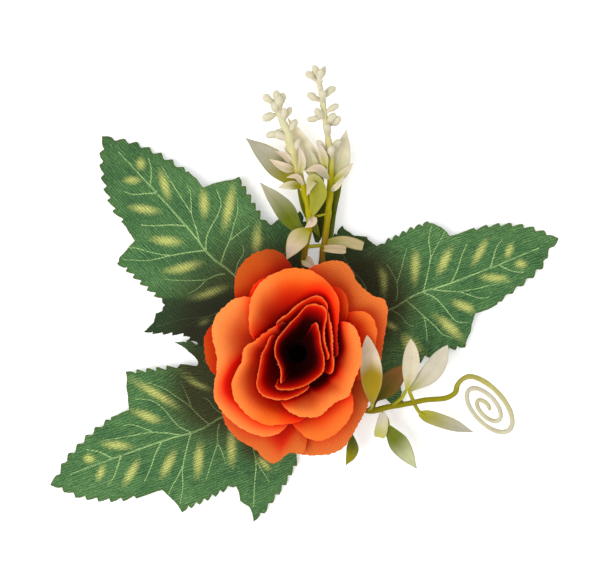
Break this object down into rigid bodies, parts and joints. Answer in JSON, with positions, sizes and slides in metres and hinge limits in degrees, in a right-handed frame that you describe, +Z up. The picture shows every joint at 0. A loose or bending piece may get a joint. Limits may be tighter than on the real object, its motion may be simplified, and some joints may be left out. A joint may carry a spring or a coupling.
{
  "type": "artificial rose spray",
  "caption": "Face-up fabric rose head with toothed printed leaves, a moulded sprig of bud spikes and a moulded sprig with a coiled tendril, bound at a short stem stub.",
  "frame": {"origin": "middle of the cut stub's flat end, on the surface that the spray lies on, under the rose's axis", "axes": "+Z up along the rose's axis, out of its face; +X to the right as the spray is looked down on with the bud spikes pointing away"},
  "size_m": [0.1928, 0.1733, 0.0457],
  "materials": {
    "petal_cloth": "fine woven polyester, stiffened and heat formed, orange at the rims and deep red in the heart",
    "leaf_cloth": "ribbed woven polyester, printed green with pale veins and yellow sprayed flecks",
    "sprig_plastic": "soft moulded plastic, yellow green at the stems and cream to pinkish white at the tips",
    "stem_plastic": "satin moulded plastic",
    "calyx_plastic": "satin moulded plastic",
    "floral_tape": "wound waxed paper tape"
  },
  "bodies": {
    "root": {"rose_stem": "stem_plastic", "calyx": "calyx_plastic", "binding": "floral_tape", "petal_ring_1": "petal_cloth", "petal_ring_2": "petal_cloth", "petal_ring_3": "petal_cloth", "petal_ring_4": "petal_cloth", "petal_ring_5": "petal_cloth", "upper_left_leaf": "leaf_cloth", "upper_left_leaf_stem": "stem_plastic", "right_leaf": "leaf_cloth", "right_leaf_stem": "stem_plastic", "lower_left_leaf": "leaf_cloth", "lower_left_leaf_stem": "stem_plastic", "bud_sprig": "sprig_plastic", "tendril_sprig": "sprig_plastic"}
  },
  "joints": []
}
